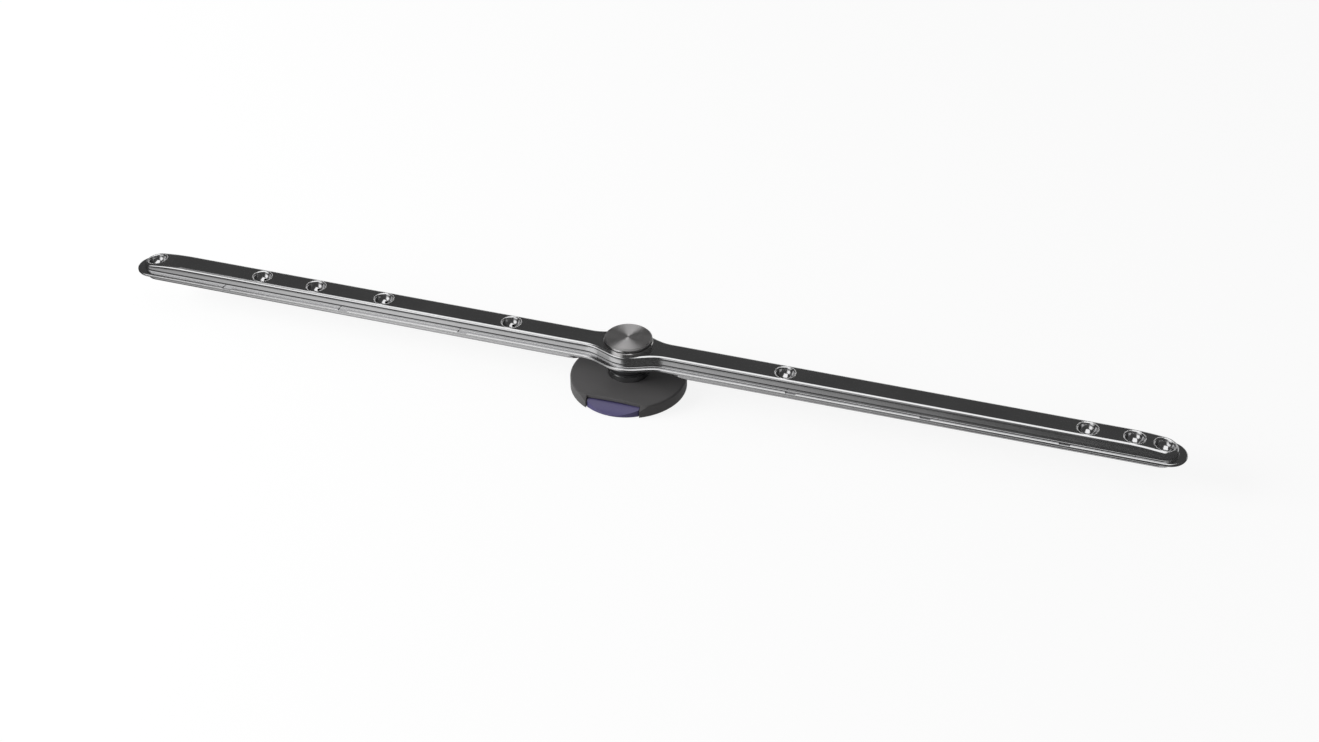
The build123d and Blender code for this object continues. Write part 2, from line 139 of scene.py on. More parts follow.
def mapRange(tree, value, start, end, low, high, interpolation="LINEAR"):
    node = addNode(tree, "ShaderNodeMapRange", {"interpolation_type": interpolation})
    for name, number in zip(("From Min", "From Max", "To Min", "To Max"), (start, end, low, high)):
        feed(tree, node.inputs[name], number)
    join(tree, value, node.inputs["Value"])
    return node.outputs["Result"]


def stepBetween(tree, value, start, end, low=0.0, high=1.0):
    return mapRange(tree, value, start, end, low, high, "SMOOTHSTEP")


def mixBetween(tree, factor, first, second, kind="RGBA"):
    # a Mix node has its own sockets for colours and for numbers
    start, end, result = {"RGBA": (6, 7, 2), "FLOAT": (2, 3, 0)}[kind]
    mix = addNode(tree, "ShaderNodeMix", {"data_type": kind})
    join(tree, factor, mix.inputs[0])
    feed(tree, mix.inputs[start], first)
    feed(tree, mix.inputs[end], second)
    return mix.outputs[result]


def newGroup(name, inputs, outputs):
    tree = bpy.data.node_groups.new(name, "ShaderNodeTree")
    for label, kind, value in inputs:
        socket = tree.interface.new_socket(label, in_out="INPUT", socket_type=kind)
        if value is not None:
            socket.default_value = value
    for label, kind in outputs:
        tree.interface.new_socket(label, in_out="OUTPUT", socket_type=kind)
    return tree, tree.nodes.new("NodeGroupInput").outputs, tree.nodes.new("NodeGroupOutput").inputs


def useGroup(tree, group, coords, **values):
    node = tree.nodes.new("ShaderNodeGroup")
    node.node_tree = group
    setInputs(node, values)
    join(tree, coords, node.inputs["Coords"])
    return node.outputs


def newMaterial(name, **values):
    material = bpy.data.materials.new(name)
    material.use_nodes = True
    tree = material.node_tree
    shader = tree.nodes["Principled BSDF"]
    setInputs(shader, values)
    coords = tree.nodes.new("ShaderNodeTexCoord").outputs["Object"]
    return material, tree, shader, coords


def opaque(tone):
    return (*tone, 1.0)


# Shared finish effects

noiseSpread = (0.3, 0.7)  # the part of a noise's range that carries its marks
streakShare = 0.6         # weight of the streaks against the clouds


def streakGroup():
    # fine marks drawn out along one direction, with slow clouds over them
    tree, given, out = newGroup(
        "drawnStreaks",
        [
            ("Coords", "NodeSocketVector", None),
            ("Stretch", "NodeSocketVector", (20.0, 1500.0, 1500.0)),
            ("Cloud Scale", "NodeSocketFloat", 60.0),
            ("Low", "NodeSocketFloat", 0.1),
            ("High", "NodeSocketFloat", 0.2),
        ],
        [("Cloud", "NodeSocketFloat"), ("Roughness", "NodeSocketFloat")],
    )
    drawn = vectorNode(tree, "MULTIPLY", given["Coords"], given["Stretch"])
    streak = noiseNode(tree, drawn, Scale=1.0, Detail=3.0, Roughness=0.6)
    cloud = noiseNode(tree, given["Coords"], Detail=2.0, Roughness=0.5)
    join(tree, given["Cloud Scale"], cloud.inputs["Scale"])
    share = mathNode(tree, "MULTIPLY", cloud.outputs["Fac"], 1.0 - streakShare)
    both = mathNode(tree, "MULTIPLY_ADD", streak.outputs["Fac"], streakShare, share)
    join(tree, cloud.outputs["Fac"], out["Cloud"])
    join(tree, mapRange(tree, both, *noiseSpread, given["Low"], given["High"]), out["Roughness"])
    return tree


def mouldGroup():
    # moulded plastic: fine spark-eroded grain and a slow drift of tone
    tree, given, out = newGroup(
        "mouldGrain",
        [
            ("Coords", "NodeSocketVector", None),
            ("Grain Scale", "NodeSocketFloat", 2500.0),
            ("Dark", "NodeSocketColor", (0.05, 0.05, 0.05, 1.0)),
            ("Light", "NodeSocketColor", (0.07, 0.07, 0.07, 1.0)),
            ("Low", "NodeSocketFloat", 0.4),
            ("High", "NodeSocketFloat", 0.5),
        ],
        [("Color", "NodeSocketColor"), ("Roughness", "NodeSocketFloat"), ("Grain", "NodeSocketFloat")],
    )
    grain = noiseNode(tree, given["Coords"], Detail=2.0, Roughness=0.7)
    join(tree, given["Grain Scale"], grain.inputs["Scale"])
    drift = noiseNode(tree, given["Coords"], Scale=90.0, Detail=3.0, Roughness=0.6).outputs["Fac"]
    join(tree, mixBetween(tree, drift, given["Dark"], given["Light"]), out["Color"])
    join(tree, mapRange(tree, drift, *noiseSpread, given["Low"], given["High"]), out["Roughness"])
    join(tree, grain.outputs["Fac"], out["Grain"])
    return tree


drawnStreaks = streakGroup()
mouldGrain = mouldGroup()


def addBump(tree, shader, height, distance):
    # laid over any bump that the shader already has
    bump = addNode(tree, "ShaderNodeBump", Distance=distance)
    for link in shader.inputs["Normal"].links:
        join(tree, link.from_socket, bump.inputs["Normal"])
    join(tree, height, bump.inputs["Height"])
    join(tree, bump.outputs["Normal"], shader.inputs["Normal"])


# Sheet and bar steel

steelValues = {
    "armSteel": {
        "dark": (0.50, 0.50, 0.505),
        "light": (0.60, 0.60, 0.605),
        "stretch": (25.0, 1800.0, 1800.0),  # streaks along the arm
        "roughness": (0.10, 0.19),
        "wave": 0.02 * mm,
    },
    "plainSteel": {
        "dark": (0.52, 0.52, 0.53),
        "light": (0.62, 0.62, 0.63),
        "stretch": (900.0, 900.0, 60.0),
        "roughness": (0.16, 0.26),
        "wave": 0.005 * mm,
    },
    "spindleSteel": {
        "dark": (0.24, 0.24, 0.245),
        "light": (0.32, 0.32, 0.325),
        "stretch": (900.0, 900.0, 60.0),
        "roughness": (0.12, 0.20),
        "wave": 0.004 * mm,
    },
}


def steelFinish(name, values):
    material, tree, shader, coords = newMaterial(name, Metallic=1.0)
    low, high = values["roughness"]
    streaks = useGroup(tree, drawnStreaks, coords, Stretch=values["stretch"], Low=low, High=high)
    tone = mixBetween(tree, streaks["Cloud"], opaque(values["dark"]), opaque(values["light"]))
    join(tree, tone, shader.inputs["Base Color"])
    join(tree, streaks["Roughness"], shader.inputs["Roughness"])
    addBump(tree, shader, streaks["Cloud"], values["wave"])
    return material


# Marks of the press on the arm's sheet, with a painted highlight round each bowl

nozzleValues = {
    "places": [x * mm for x in (-230.3, -176.3, -149.4, -115.9, -54.5, 70.6, 198.9, 218.0, 230.3)],
    "beadRadii": (4.15 * mm, 4.5 * mm, 4.9 * mm),  # inner foot, crest and outer foot
    "beadLevel": (19.2 * mm, 19.4 * mm),           # no bead below this height
    "beadHeight": 0.05 * mm,
    # painted highlight: the near-white tone of the bead round each bowl
    "ringHighlightTone": (0.96, 0.96, 0.96),
    "beadRoughness": 0.62,
}

creaseValues = {
    "level": (17.68 * mm, 18.56 * mm),
    "depth": 0.17 * mm,
    "clearOfBead": 0.4 * mm,
}

inPlan = (1.0, 1.0, 0.0)  # leaves the height out


def nozzleDistance(tree, coords, places):
    # plan distance from the nearest nozzle's centre
    flat = vectorNode(tree, "MULTIPLY", coords, inPlan)
    away = [vectorNode(tree, "DISTANCE", flat, (x, 0.0, 0.0), output="Value") for x in places]
    nearest = away[0]
    for distance in away[1:]:
        nearest = mathNode(tree, "MINIMUM", nearest, distance)
    return nearest


def pressMarksAndRingHighlight(material, nozzle, crease):
    # a low bead round each nozzle bowl, where the punch turned the sheet down; its metal is painted near
    # white and made rougher there, a painted highlight that shows as a bright ring
    tree = material.node_tree
    shader = tree.nodes["Principled BSDF"]
    coords = tree.nodes.new("ShaderNodeTexCoord").outputs["Object"]
    nearest = nozzleDistance(tree, coords, nozzle["places"])
    height = splitNode(tree, coords)["Z"]
    inner, crest, outer = nozzle["beadRadii"]
    rise = stepBetween(tree, nearest, inner, crest)
    fall = stepBetween(tree, nearest, crest, outer, 1.0, 0.0)
    onTop = stepBetween(tree, height, *nozzle["beadLevel"])
    bead = mathNode(tree, "MULTIPLY", mathNode(tree, "MULTIPLY", rise, fall), onTop)
    tone, roughness = [shader.inputs[name].links[0].from_socket for name in ("Base Color", "Roughness")]
    # painted highlight: the bead's metal is made near white, so it shows as a bright ring
    join(tree, mixBetween(tree, bead, tone, opaque(nozzle["ringHighlightTone"])), shader.inputs["Base Color"])
    polish = mixBetween(tree, bead, roughness, nozzle["beadRoughness"], "FLOAT")
    join(tree, polish, shader.inputs["Roughness"])
    addBump(tree, shader, bead, nozzle["beadHeight"])

    # a faint crease along the wall, where it steps out a little
    below = stepBetween(tree, height, *crease["level"], 1.0, 0.0)
    outside = stepBetween(tree, nearest, outer, outer + crease["clearOfBead"])
    addBump(tree, shader, mathNode(tree, "MULTIPLY", below, outside), crease["depth"])


# Turned steel of the cap and its ring

turnedValues = {
    "dark": (0.50, 0.49, 0.49),
    "light": (0.66, 0.65, 0.65),
    "roughness": (0.57, 0.67),
    "ringScale": 5200.0,
    "ringDepth": 0.002 * mm,
    "topLevel": (24.72 * mm, 24.92 * mm),  # the sides below it are polished
    "sideRoughness": 0.16,
    "pull": 0.9,                           # how far the turning marks pull the sheen out
    "pullTurn": 0.25,
}


def spunFinish(name, values):
    # turned on a lathe: rings about the spin axis, so the sheen fans out in wedges on top
    material, tree, shader, coords = newMaterial(
        name, Metallic=1.0, Anisotropic=values["pull"], Anisotropic_Rotation=values["pullTurn"]
    )
    around = addNode(tree, "ShaderNodeTangent", {"direction_type": "RADIAL", "axis": "Z"})
    join(tree, around.outputs["Tangent"], shader.inputs["Tangent"])
    flat = vectorNode(tree, "MULTIPLY", coords, inPlan)
    radius = vectorNode(tree, "LENGTH", flat, output="Value")
    noise = addNode(tree, "ShaderNodeTexNoise", {"noise_dimensions": "1D"}, Detail=3.0)
    noise.inputs["Scale"].default_value = values["ringScale"]
    join(tree, radius, noise.inputs["W"])
    rings = noise.outputs["Fac"]
    tone = mixBetween(tree, rings, opaque(values["dark"]), opaque(values["light"]))
    join(tree, tone, shader.inputs["Base Color"])
    onTop = mapRange(tree, rings, *noiseSpread, *values["roughness"])
    height = splitNode(tree, coords)["Z"]
    roughness = stepBetween(tree, height, *values["topLevel"], values["sideRoughness"], onTop)
    join(tree, roughness, shader.inputs["Roughness"])
    addBump(tree, shader, rings, values["ringDepth"])
    return material


# Plastics and rubber

plasticValues = {
    "bearingPlastic": {
        "dark": (0.02, 0.02, 0.021),
        "light": (0.035, 0.035, 0.037),
        "roughness": (0.32, 0.42),
        "grainScale": 3000.0,
        "grainDepth": 0.004 * mm,
        "sheen": 0.0,
    },
    "sealRubber": {
        "dark": (0.015, 0.015, 0.015),
        "light": (0.028, 0.027, 0.026),
        "roughness": (0.6, 0.75),
        "grainScale": 2500.0,
        "grainDepth": 0.01 * mm,
        "sheen": 0.0,
    },
    "housingPlastic": {
        "dark": (0.057, 0.055, 0.056),
        "light": (0.077, 0.074, 0.075),
        "roughness": (0.42, 0.54),
        "grainScale": 2800.0,
        "grainDepth": 0.012 * mm,
        "sheen": 0.3,
    },
    "buttonPlastic": {
        "dark": (0.075, 0.065, 0.15),
        "light": (0.10, 0.088, 0.20),
        "roughness": (0.28, 0.38),
        "grainScale": 3200.0,
        "grainDepth": 0.006 * mm,
        "sheen": 0.0,
    },
}


def plasticFinish(name, values):
    material, tree, shader, coords = newMaterial(name, Sheen_Weight=values["sheen"])
    low, high = values["roughness"]
    grain = useGroup(
        tree, mouldGrain, coords, Grain_Scale=values["grainScale"],
        Dark=opaque(values["dark"]), Light=opaque(values["light"]), Low=low, High=high,
    )
    join(tree, grain["Color"], shader.inputs["Base Color"])
    join(tree, grain["Roughness"], shader.inputs["Roughness"])
    addBump(tree, shader, grain["Grain"], values["grainDepth"])
    return material


# Every node gets its finish

finishes = {name: steelFinish(name, values) for name, values in steelValues.items()}
finishes.update({name: plasticFinish(name, values) for name, values in plasticValues.items()})
finishes["turnedSteel"] = spunFinish("turnedSteel", turnedValues)
pressMarksAndRingHighlight(finishes["armSteel"], nozzleValues, creaseValues)

finishOf = {
    "arm_upper_shell": "armSteel",
    "arm_lower_shell": "armSteel",
    "hub_bush": "bearingPlastic",
    "bush_clip": "plainSteel",
    "upper_bush": "bearingPlastic",
    "hub_ring": "turnedSteel",
    "lower_thrust_washer": "bearingPlastic",
    "upper_thrust_washer": "bearingPlastic",
    "spindle": "spindleSteel",
    "spindle_circlip": "plainSteel",
    "inlet_seal": "sealRubber",
    "hub_cap": "turnedSteel",
    "housing_cover": "housingPlastic",
    "base_plate": "housingPlastic",
    "base_screws": "plainSteel",
    "release_button": "buttonPlastic",
    "return_spring": "plainSteel",
}
for name, finish in finishOf.items():
    nodes[name].data.materials.clear()
    nodes[name].data.materials.append(finishes[finish])
print("stage 2: finishes on", len(finishOf), "nodes")


# Upper shell: the solid's own sheet, with its top edge rolled rounder and both ends pressed down

shellValues = {
    "foot": 17.0 * mm,           # top of the hem, which stays as it is
    "builtRadius": 1.0 * mm,     # top edge of the solid
    "rimRadius": 1.45 * mm,      # top edge made here
    "rimDepth": 1.5 * mm,        # the rounder edge ends above this depth
    "rimRows": 6,
    "rimSpacing": 2.0 * mm,
    "rowSlack": 0.95,            # a point nearer the edge than this share of its depth is past a corner
    "sideStep": 0.05 * mm,       # finds an edge's inner side
    "wallLean": 14.0,            # degrees
    "bowlReach": 4.7 * mm,       # a bowl with its lip, which moves as a whole
    "bowlMargin": 0.15 * mm,     # new points keep this far off it
    "bowlOverlap": 0.1 * mm,     # triangles further in than this lie in its hole
    "hubReach": 20.0 * mm,       # the hole nearer than this is the hub's
    "cutEvery": 12.0 * mm,
    "endFrom": 214.0 * mm,       # where the ends begin to go down
    "endReach": 26.0 * mm,
    "endDrop": 2.6 * mm,
    "endCut": 1.3 * mm,
    "sharpAngle": 32.0,          # degrees, past which an edge stays sharp
    "flatNormal": 0.9999,
    "flatWithin": 0.005 * mm,
    "mergeWithin": 0.001 * mm,
    "cutWithin": 0.0001 * mm,
    "pointWithin": 0.000001 * mm,
}


def cutAcross(sheet, values):
    # sections across the arm, close together at its ends, so that it can bend there
    places = []
    spot = 0.0
    while spot < cadHigh.x:
        places += [spot, -spot]
        spot += values["cutEvery"] if spot < values["endFrom"] else values["endCut"]
    for place in places:
        if cadLow.x < place < cadHigh.x:
            bmesh.ops.bisect_plane(
                sheet, geom=sheet.verts[:] + sheet.edges[:] + sheet.faces[:], dist=values["cutWithin"],
                plane_co=(place, 0, 0), plane_no=(1, 0, 0),
            )


def edgeLoops(edges):
    # the edges' vertices in connected groups, the longest group first
    beside = {}
    for edge in edges:
        for one, other in (edge.verts, reversed(edge.verts)):
            beside.setdefault(one, []).append(other)
    loops = []
    while beside:
        loop, ahead = [], [next(iter(beside))]
        while ahead:
            vert = ahead.pop()
            if vert in beside:
                loop.append(vert)
                ahead += beside.pop(vert)
        loops.append(loop)
    return sorted(loops, key=lambda loop: min(vert.co.x for vert in loop) - max(vert.co.x for vert in loop))


def insetFrom(edges, loop, values):
    # gives a function: plan distance inwards from the flat's outer edge, negative outside it
    deep = Vector((0, 0, mm))
    corners, walls = [], []
    for edge in edges:
        first, second = [vert.co.copy() for vert in edge.verts]
        start = len(corners)
        corners += [first - deep, second - deep, second + deep, first + deep]
        walls.append((start, start + 1, start + 2, start + 3))
    fence = BVHTree.FromPolygons(corners, walls)
    side = sorted((vert.co.x, vert.co.y) for vert in loop if vert.co.y >= 0)
    level = loop[0].co.z

    def inset(x, y):
        distance = fence.find_nearest((x, y, level))[3]
        after = next((k for k, point in enumerate(side) if point[0] >= x), None)
        if not after:
            return -distance
        (x0, y0), (x1, y1) = side[after - 1], side[after]
        reach = y0 + (y1 - y0) * (x - x0) / max(x1 - x0, values["pointWithin"])
        return distance if abs(y) < reach else -distance

    return inset


def rimAngle(values):
    # how far the sheet turns from the flat to the wall
    return math.radians(90 - values["wallLean"])


def rimShift(values):
    # how much further in the rounder edge begins
    return (values["rimRadius"] - values["builtRadius"]) * math.tan(rimAngle(values) / 2)


def rolledDrop(values, inset):
    # how far the rounder edge lies below the built one, at this plan distance from the flat's edge
    turn = rimAngle(values)
    built, rim = values["builtRadius"], values["rimRadius"]
    across = rimShift(values) - inset
    if across <= 0 or across >= rim * math.sin(turn):
        return 0.0
    onRim = rim - math.sqrt(rim ** 2 - across ** 2)
    past = -inset
    if past <= 0:
        onBuilt = 0.0
    elif past <= built * math.sin(turn):
        onBuilt = built - math.sqrt(built ** 2 - past ** 2)
    else:
        onBuilt = built * (1 - math.cos(turn)) + (past - built * math.sin(turn)) * math.tan(turn)
    return max(onRim - onBuilt, 0.0)


def bowlGap(values, x, y):
    # plan distance from the nearest bowl, negative inside it
    return min(math.hypot(x - place, y) for place in nozzleValues["places"]) - values["bowlReach"]


def rimPoints(rim, values, inset):
    # rows of points along the flat's edge, where the rounder edge needs them
    points = []
    for edge in rim:
        first, second = [vert.co.xy for vert in edge.verts]
        run = second - first
        inward = Vector((-run.y, run.x)).normalized()
        if inset(*((first + second) / 2 + inward * values["sideStep"])) < 0:
            inward = -inward
        count = max(1, round(run.length / values["rimSpacing"]))
        for row in range(1, values["rimRows"] + 2):
            depth = rimShift(values) * row / values["rimRows"]
            for step in range(count):
                spot = first + run * (step + 0.5) / count + inward * depth
                inRow = inset(*spot) > values["rowSlack"] * depth
                if inRow and bowlGap(values, *spot) > values["bowlMargin"]:
                    points.append(spot)
    return points


def refill(sheet, flats, rim, holes, values, inset, level):
    # the flat again, with the rim's points in it
    verts = list(dict.fromkeys(vert for face in flats for vert in face.verts))
    number = {vert: k for k, vert in enumerate(verts)}
    fixed = [(number[edge.verts[0]], number[edge.verts[1]]) for edge in rim + holes]
    points = [vert.co.xy for vert in verts] + rimPoints(rim, values, inset)
    bmesh.ops.delete(sheet, geom=flats, context="FACES_ONLY")
    found, _, triangles, sources, _, _ = geometry.delaunay_2d_cdt(
        points, fixed, [], 1, values["pointWithin"], True
    )
    made = []
    for spot, source in zip(found, sources):
        known = [k for k in source if k < len(verts)]
        made.append(verts[known[0]] if known else sheet.verts.new((spot.x, spot.y, level)))
    fromAxis = [vert.co.xy.length for edge in holes for vert in edge.verts]
    hub = max(distance for distance in fromAxis if distance < values["hubReach"])
    for corners in triangles:
        centre = sum((Vector(found[k]) for k in corners), Vector((0, 0))) / 3
        onSheet = centre.length > hub and bowlGap(values, *centre) > -values["bowlOverlap"]
        if onSheet and inset(*centre) > 0:
            face = sheet.faces.new([made[k] for k in corners])
            face.normal_update()
            if face.normal.z < 0:
                face.normal_flip()


def bendSheet(sheet, values, inset, level):
    # the rim rolled, and the ends pressed down above the hem
    for vert in sheet.verts:
        x, y, z = vert.co
        if z > level - values["rimDepth"]:
            vert.co.z -= rolledDrop(values, inset(x, y))
        along = max(abs(x) - values["endFrom"], 0.0) / values["endReach"]
        rise = (z - values["foot"]) / (level - values["foot"])
        share = 1.0 if bowlGap(values, x, y) < 0 else min(max(rise, 0.0), 1.0)
        vert.co.z -= values["endDrop"] * along ** 2 * share


def makeShell(values):
    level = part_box("arm_upper_shell")[1][2]
    sheet = bmesh.new()
    sheet.from_mesh(nodes["arm_upper_shell"].data)
    bmesh.ops.remove_doubles(sheet, verts=sheet.verts, dist=values["mergeWithin"])
    cutAcross(sheet, values)
    flats = [
        face for face in sheet.faces
        if face.normal.z > values["flatNormal"]
        and abs(face.calc_center_median().z - level) < values["flatWithin"]
    ]
    inFlat = set(flats)
    border = [edge for edge in sheet.edges if sum(face in inFlat for face in edge.link_faces) == 1]
    outline = edgeLoops(border)[0]
    onOutline = set(outline)
    rim = [edge for edge in border if edge.verts[0] in onOutline]
    holes = [edge for edge in border if edge.verts[0] not in onOutline]
    inset = insetFrom(rim, outline, values)
    refill(sheet, flats, rim, holes, values, inset, level)
    bendSheet(sheet, values, inset, level)

    for face in sheet.faces:
        face.smooth = True
    for edge in sheet.edges:
        edge.smooth = edge.calc_face_angle(0.0) < math.radians(values["sharpAngle"])
    mesh = bpy.data.meshes.new("armShell")
    sheet.to_mesh(mesh)
    sheet.free()
    mesh.materials.append(finishes["armSteel"])
    holder = placeObject("armShellDraft", mesh)
    even = holder.modifiers.new("even", "WEIGHTED_NORMAL")
    even.keep_sharp = True
    shell = bakeObject(holder, "armShell")
    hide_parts("arm_upper_shell")
    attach(shell, "arm")
    print("stage 3: upper shell,", len(shell.data.polygons), "faces")


makeShell(shellValues)


# Base screws, set out by Geometry Nodes at the four places of the base plate

screwValues = {
    "circleRadius": 19.5 * mm,
    "angles": (-10.0, 60.0, 120.0, 190.0),
    "Head Radius": 2.2 * mm,
    "Head Depth": 0.9 * mm,
    "Core Radius": 0.92 * mm,
    "Thread Radius": 1.1 * mm,
    "Thread Share": 0.8,         # of the shank's length
    "Thread Turns": 4.0,
    "Length": 3.6 * mm,
    "Slot Width": 0.5 * mm,
    "Slot Length": 2.6 * mm,
    "Slot Depth": 0.5 * mm,
}


def lift(tree, part, height):
    # a part moved up by a height socket
    up = addNode(tree, "ShaderNodeCombineXYZ")
    join(tree, height, up.inputs["Z"])
    move = addNode(tree, "GeometryNodeTransform")
    join(tree, part, move.inputs["Geometry"])
    join(tree, up.outputs[0], move.inputs["Translation"])
    return move.outputs[0]


def screwTree(material):
    tree = bpy.data.node_groups.new("screwSet", "GeometryNodeTree")
    tree.interface.new_socket("Geometry", in_out="INPUT", socket_type="NodeSocketGeometry")
    for label in screwValues:
        if label[0].isupper():
            tree.interface.new_socket(label, in_out="INPUT", socket_type="NodeSocketFloat")
    tree.interface.new_socket("Geometry", in_out="OUTPUT", socket_type="NodeSocketGeometry")
    given = tree.nodes.new("NodeGroupInput").outputs
    out = tree.nodes.new("NodeGroupOutput")

    head = addNode(tree, "GeometryNodeMeshCone", Vertices=48)
    join(tree, given["Head Radius"], head.inputs["Radius Bottom"])
    join(tree, given["Core Radius"], head.inputs["Radius Top"])
    join(tree, given["Head Depth"], head.inputs["Depth"])
    core = addNode(tree, "GeometryNodeMeshCylinder", Vertices=32)
    join(tree, given["Core Radius"], core.inputs["Radius"])
    shank = mathNode(tree, "SUBTRACT", given["Length"], given["Head Depth"])
    join(tree, shank, core.inputs["Depth"])
    middle = mathNode(tree, "MULTIPLY_ADD", shank, 0.5, given["Head Depth"])
    lifted = lift(tree, core.outputs["Mesh"], middle)

    # thread: a pointed ridge along a helix, which just reaches the thread's radius
    helix = addNode(tree, "GeometryNodeCurveSpiral", Resolution=24)
    join(tree, given["Thread Turns"], helix.inputs["Rotations"])
    for name in ("Start Radius", "End Radius"):
        join(tree, given["Core Radius"], helix.inputs[name])
    threadLength = mathNode(tree, "MULTIPLY", shank, given["Thread Share"])
    join(tree, threadLength, helix.inputs["Height"])
    profile = addNode(tree, "GeometryNodeCurvePrimitiveCircle", Resolution=4)
    ridge = mathNode(tree, "SUBTRACT", given["Thread Radius"], given["Core Radius"])
    join(tree, ridge, profile.inputs["Radius"])
    thread = addNode(tree, "GeometryNodeCurveToMesh", Fill_Caps=True)
    join(tree, helix.outputs["Curve"], thread.inputs["Curve"])
    join(tree, profile.outputs["Curve"], thread.inputs["Profile Curve"])
    bare = mathNode(tree, "SUBTRACT", shank, threadLength)
    start = mathNode(tree, "MULTIPLY_ADD", bare, 0.5, given["Head Depth"])
    wound = lift(tree, thread.outputs["Mesh"], start)

    # cross recess in the head
    recess = addNode(tree, "GeometryNodeMeshBoolean", {"operation": "DIFFERENCE", "solver": "EXACT"})
    join(tree, head.outputs["Mesh"], recess.inputs["Mesh 1"])
    for first, second in (("Slot Width", "Slot Length"), ("Slot Length", "Slot Width")):
        size = addNode(tree, "ShaderNodeCombineXYZ")
        join(tree, given[first], size.inputs["X"])
        join(tree, given[second], size.inputs["Y"])
        join(tree, mathNode(tree, "MULTIPLY", given["Slot Depth"], 2.0), size.inputs["Z"])
        bar = addNode(tree, "GeometryNodeMeshCube")
        join(tree, size.outputs[0], bar.inputs["Size"])
        join(tree, bar.outputs["Mesh"], recess.inputs["Mesh 2"])

    screw = addNode(tree, "GeometryNodeJoinGeometry")
    for part in (recess.outputs["Mesh"], lifted, wound):
        join(tree, part, screw.inputs[0])
    spots = addNode(tree, "GeometryNodeInstanceOnPoints")
    join(tree, given["Geometry"], spots.inputs["Points"])
    join(tree, screw.outputs[0], spots.inputs["Instance"])
    real = addNode(tree, "GeometryNodeRealizeInstances")
    join(tree, spots.outputs[0], real.inputs[0])
    finish = addNode(tree, "GeometryNodeSetMaterial", Material=material)
    join(tree, real.outputs[0], finish.inputs["Geometry"])
    join(tree, finish.outputs[0], out.inputs[0])
    return tree


def makeScrews(values):
    radius = values["circleRadius"]
    turns = [math.radians(angle) for angle in values["angles"]]
    places = [(radius * math.cos(turn), radius * math.sin(turn), 0.0) for turn in turns]
    seed = bpy.data.meshes.new("screwPlaces")
    seed.from_pydata(places, [], [])
    holder = placeObject("screwPlaces", seed)
    tree = screwTree(finishes["plainSteel"])
    modifier = holder.modifiers.new("screws", "NODES")
    modifier.node_group = tree
    for item in tree.interface.items_tree:
        if item.in_out == "INPUT" and item.name in values:
            modifier[item.identifier] = values[item.name]
    screws = bakeObject(holder, "screws")
    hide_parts("base_screws")
    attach(screws, "base")
    print("stage 4: screws,", len(screws.data.polygons), "faces")


makeScrews(screwValues)


# Return spring: a bowed strip with cut corners

springValues = {
    "reach": 10.75 * mm,         # half the strip's length across
    "apexY": 9.65 * mm,          # where it bears on the slide
    "anchorY": 14.1 * mm,        # where it rests on the screw bosses
    "thickness": 0.3 * mm,
    "low": 1.7 * mm,
    "high": 3.7 * mm,
    "edge": 0.1 * mm,
    "steps": 64,
    "keep": 0.44,
}


def springOutline(values):
    # section of the strip, its corners cut: depth through the sheet, then height
    thick, edge = values["thickness"], values["edge"]
    low, high = values["low"], values["high"]
    return [
        (0.0, low + edge), (edge, low), (thick - edge, low), (thick, low + edge),
        (thick, high - edge), (thick - edge, high), (edge, high), (0.0, high - edge),
    ]


def makeSpring(values):
    # the strip is an arc through its apex and its two ends
    rise = values["anchorY"] - values["apexY"] - values["thickness"]
    bend = (values["reach"] ** 2 + rise ** 2) / (2 * rise)
    half = math.asin(values["reach"] / bend)
    centreY = values["apexY"] + values["thickness"] + bend
    outline = springOutline(values)
    count = len(outline)
    steps = values["steps"]
    points = []
    for step in range(steps + 1):
        turn = half * (2 * step / steps - 1)
        for depth, height in outline:
            radius = bend + values["thickness"] - depth
            points.append((radius * math.sin(turn), centreY - radius * math.cos(turn), height))
    faces = [tuple(reversed(range(count)))]
    for step in range(steps):
        for k in range(count):
            here = step * count + k
            beside = step * count + (k + 1) % count
            faces.append((here, beside, beside + count, here + count))
    faces.append(tuple(range(steps * count, (steps + 1) * count)))
    mesh = bpy.data.meshes.new("returnStrip")
    mesh.from_pydata(points, [], faces)
    mesh.materials.append(finishes["plainSteel"])
    skin = bmesh.new()
    skin.from_mesh(mesh)
    bmesh.ops.recalc_face_normals(skin, faces=skin.faces)
    skin.to_mesh(mesh)
    skin.free()
    strip = placeObject("returnStrip", mesh)
    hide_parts("return_spring")
    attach(strip, "base")
    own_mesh(strip)
    print("stage 5: return spring,", len(mesh.polygons), "faces")


makeSpring(springValues)


# Floor

floorValues = {
    "size": 12.0,
    "tone": (0.19, 0.19, 0.19),
    "glow": 0.86,                # share of the floor's white that shadows can't take away
    "bounce": 0.5,               # light that the floor throws on matt walls
    "sheetShine": 0.62,          # glossy table under the steel: it mirrors the softboxes
    "sheetRoughness": 0.12,
    "sheetGlow": 0.02,
    "leftShadeX": (-0.28, -0.12),  # painted shade: the glossy sheet is darker towards the left end, and the steel mirrors it
    "leftShadeTone": 0.50,
}


